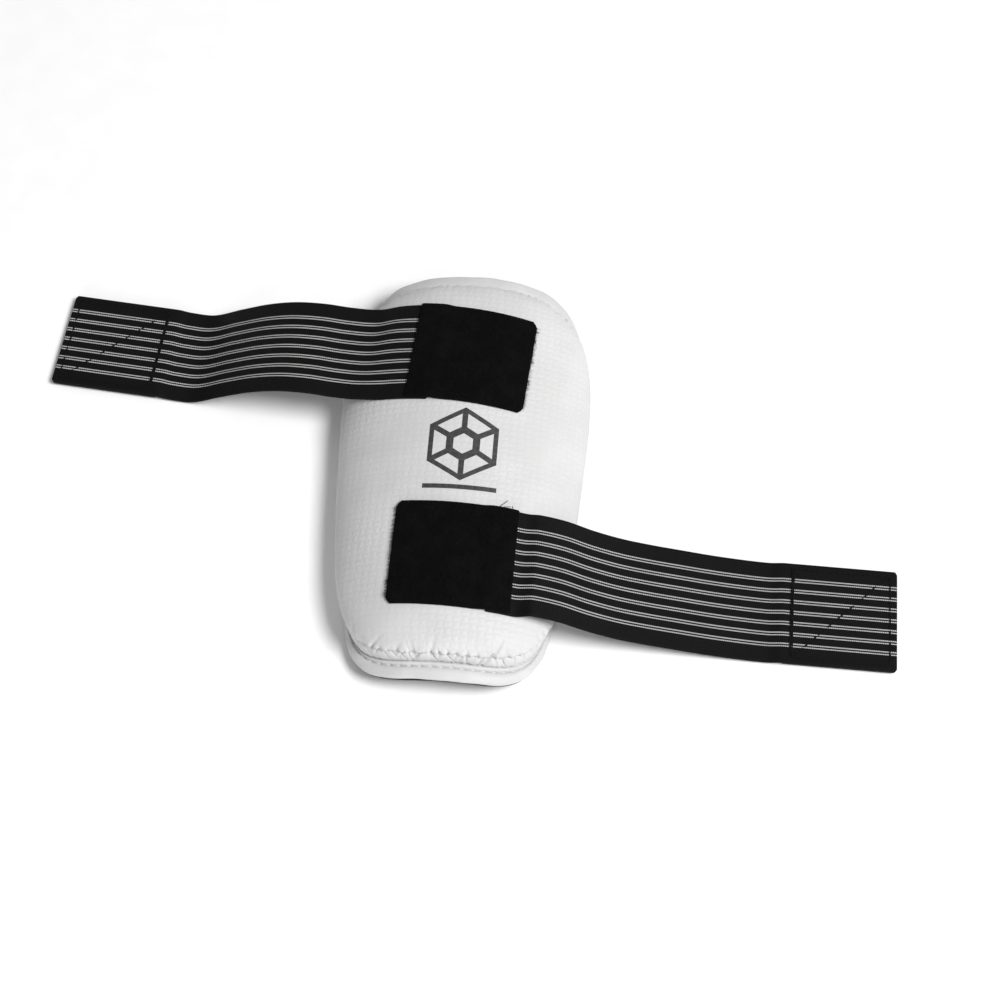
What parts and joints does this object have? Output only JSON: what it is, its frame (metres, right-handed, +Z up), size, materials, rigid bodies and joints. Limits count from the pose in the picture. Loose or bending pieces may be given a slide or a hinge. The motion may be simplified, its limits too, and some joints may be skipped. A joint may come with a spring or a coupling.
{
  "type": "forearm guard",
  "caption": "Arched foam forearm guard in a sewn white vinyl cover, with striped black elastic straps, loop patches on the face and hook tabs on the strap ends.",
  "frame": {"origin": "on the table, under the middle of the pad and of the spread straps", "axes": "+Y along the forearm to the elbow end, +X across it along the lower strap, +Z up from the table to the padded face"},
  "size_m": [0.4115, 0.2065, 0.0448],
  "materials": {
    "vinyl": "satin",
    "lining": "matte",
    "foam": "matte",
    "elastic": "matte",
    "loop": "matte",
    "hook": "satin",
    "print": "satin",
    "white_thread": "satin",
    "black_thread": "satin"
  },
  "bodies": {
    "guard": {"back_lining": "lining", "backing_foam": "foam", "border_cover": "vinyl", "foam_core": "foam", "gusset_strip": "vinyl", "face_cover": "vinyl", "face_seam_thread": "white_thread", "border_thread": "white_thread", "emblem_print": "print", "emblem_bar": "print", "upper_loop_patch": "loop", "upper_patch_thread": "black_thread", "upper_strap_root": "elastic", "lower_loop_patch": "loop", "lower_patch_thread": "black_thread", "lower_strap_root": "elastic"},
    "upper_inner": {"upper_strap_inner": "elastic"},
    "upper_middle": {"upper_strap_middle": "elastic"},
    "upper_outer": {"upper_strap_outer": "elastic"},
    "upper_tip": {"upper_strap_tip": "elastic", "upper_hook_tab": "hook", "upper_tab_thread": "black_thread"},
    "lower_inner": {"lower_strap_inner": "elastic"},
    "lower_middle": {"lower_strap_middle": "elastic"},
    "lower_outer": {"lower_strap_outer": "elastic"},
    "lower_tip": {"lower_strap_tip": "elastic", "lower_hook_tab": "hook", "lower_tab_thread": "black_thread"}
  },
  "joints": [
    {"name": "upper_strap_lift", "type": "hinge", "parent": "guard", "child": "upper_inner", "pos_m": [-0.0279, 0.05228, 0.0393], "axis": [0.0837, 0.9965, 0], "range_deg": [0, 95]},
    {"name": "upper_strap_edge", "type": "hinge", "parent": "upper_inner", "child": "upper_middle", "pos_m": [-0.06068, 0.05503, 0.0286], "axis": [-0.0837, -0.9965, 0], "range_deg": [-25, 70]},
    {"name": "upper_strap_bend", "type": "hinge", "parent": "upper_middle", "child": "upper_outer", "pos_m": [-0.09606, 0.058, 0.024], "axis": [-0.0837, -0.9965, 0], "range_deg": [-20, 60]},
    {"name": "upper_tab_fold", "type": "hinge", "parent": "upper_outer", "child": "upper_tip", "pos_m": [-0.13791, 0.06151, 0.0023], "axis": [-0.0837, -0.9965, 0], "range_deg": [-140, 60]},
    {"name": "lower_strap_lift", "type": "hinge", "parent": "guard", "child": "lower_inner", "pos_m": [0.0309, -0.05132, 0.0341], "axis": [-0.0175, -0.9998, 0], "range_deg": [0, 95]},
    {"name": "lower_strap_edge", "type": "hinge", "parent": "lower_inner", "child": "lower_middle", "pos_m": [0.06379, -0.05189, 0.0214], "axis": [0.0175, 0.9998, 0], "range_deg": [-25, 70]},
    {"name": "lower_strap_bend", "type": "hinge", "parent": "lower_middle", "child": "lower_outer", "pos_m": [0.09929, -0.05251, 0.0093], "axis": [0.0175, 0.9998, 0], "range_deg": [-20, 60]},
    {"name": "lower_tab_fold", "type": "hinge", "parent": "lower_outer", "child": "lower_tip", "pos_m": [0.14128, -0.05324, 0.0027], "axis": [0.0175, 0.9998, 0], "range_deg": [-140, 60]}
  ]
}
